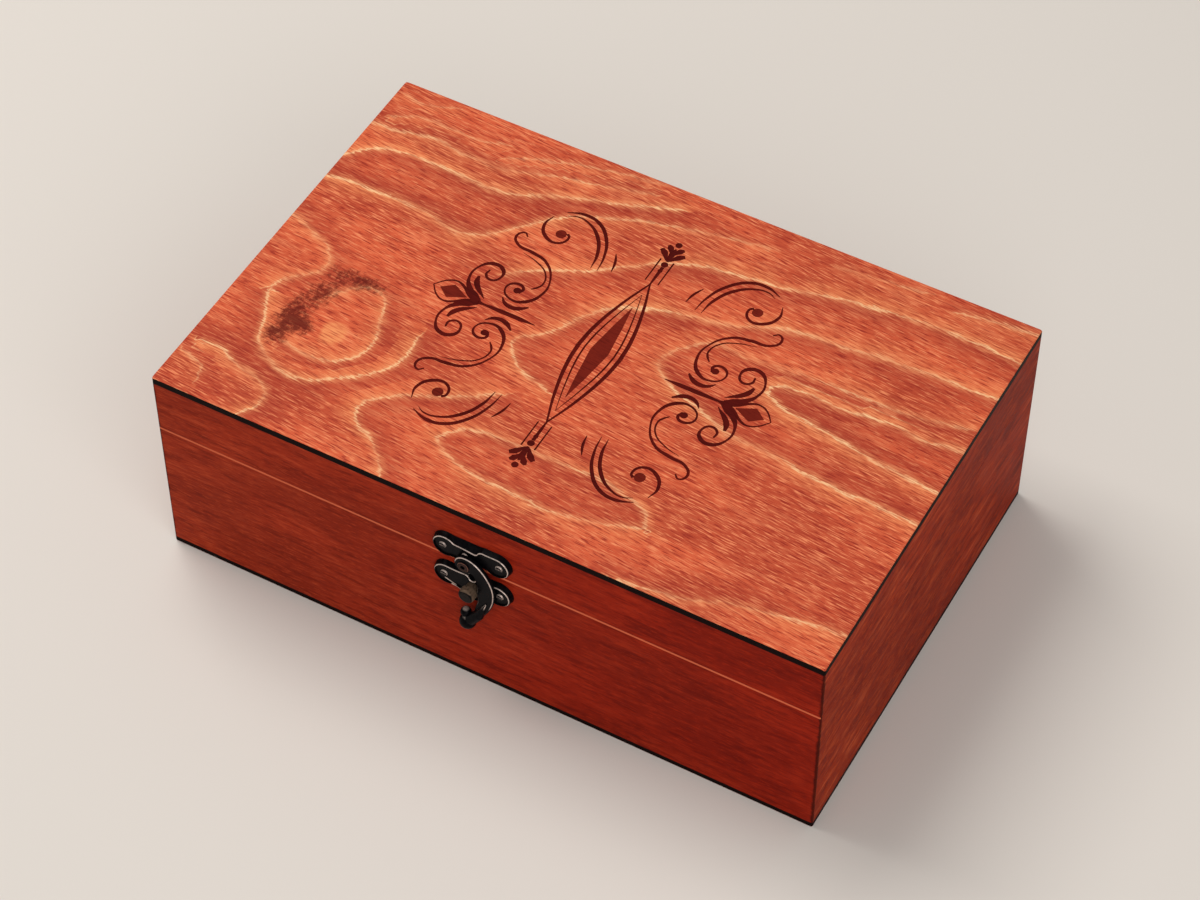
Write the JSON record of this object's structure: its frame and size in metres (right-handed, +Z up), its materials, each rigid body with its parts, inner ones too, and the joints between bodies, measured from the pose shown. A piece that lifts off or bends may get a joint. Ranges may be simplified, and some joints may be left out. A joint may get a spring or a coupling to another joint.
{
  "type": "hinged_keepsake_box",
  "caption": "Stained wooden keepsake box with mitred corners, a hinged lid under a thin plywood panel with an engraved ornament, and a small black cast swing-hook latch on the front.",
  "frame": {"origin": "centre of the underside of the bottom panel", "axes": "+X along the front to the right, +Y from the front to the hinges, +Z up"},
  "size_m": [0.26, 0.1806, 0.089],
  "materials": {
    "stained_wood": "satin",
    "stained_plywood": "satin",
    "black_casting": "antiqued, rubbed bright on the rims",
    "bronzed_steel": "dark bronze wash"
  },
  "bodies": {
    "case": {"front_wall": "stained_wood", "back_wall": "stained_wood", "left_wall": "stained_wood", "right_wall": "stained_wood", "bottom_panel": "stained_plywood", "catch_plate": "black_casting", "catch_knob": "bronzed_steel", "catch_plate_screws": "bronzed_steel", "hinge_left_case_leaf": "bronzed_steel", "hinge_left_pin": "bronzed_steel", "hinge_left_case_screws": "bronzed_steel", "hinge_right_case_leaf": "bronzed_steel", "hinge_right_pin": "bronzed_steel", "hinge_right_case_screws": "bronzed_steel"},
    "lid": {"lid_panel": "stained_plywood", "lid_front_rail": "stained_wood", "lid_back_rail": "stained_wood", "lid_left_rail": "stained_wood", "lid_right_rail": "stained_wood", "latch_plate": "black_casting", "latch_plate_pin": "black_casting", "latch_plate_screws": "bronzed_steel", "hook_rivet": "bronzed_steel", "hinge_left_lid_leaf": "bronzed_steel", "hinge_left_lid_screws": "bronzed_steel", "hinge_right_lid_leaf": "bronzed_steel", "hinge_right_lid_screws": "bronzed_steel"},
    "hook": {"latch_hook": "black_casting"}
  },
  "joints": [
    {"name": "lid_hinge", "type": "hinge", "parent": "case", "child": "lid", "pos_m": [0, 0.0868, 0.0629], "axis": [-1, 0, 0], "range_deg": [0, 180]},
    {"name": "hook_swing", "type": "hinge", "parent": "lid", "child": "hook", "pos_m": [-0.0033, -0.0883, 0.0659], "axis": [0, -1, 0], "range_deg": [0, 100]}
  ]
}
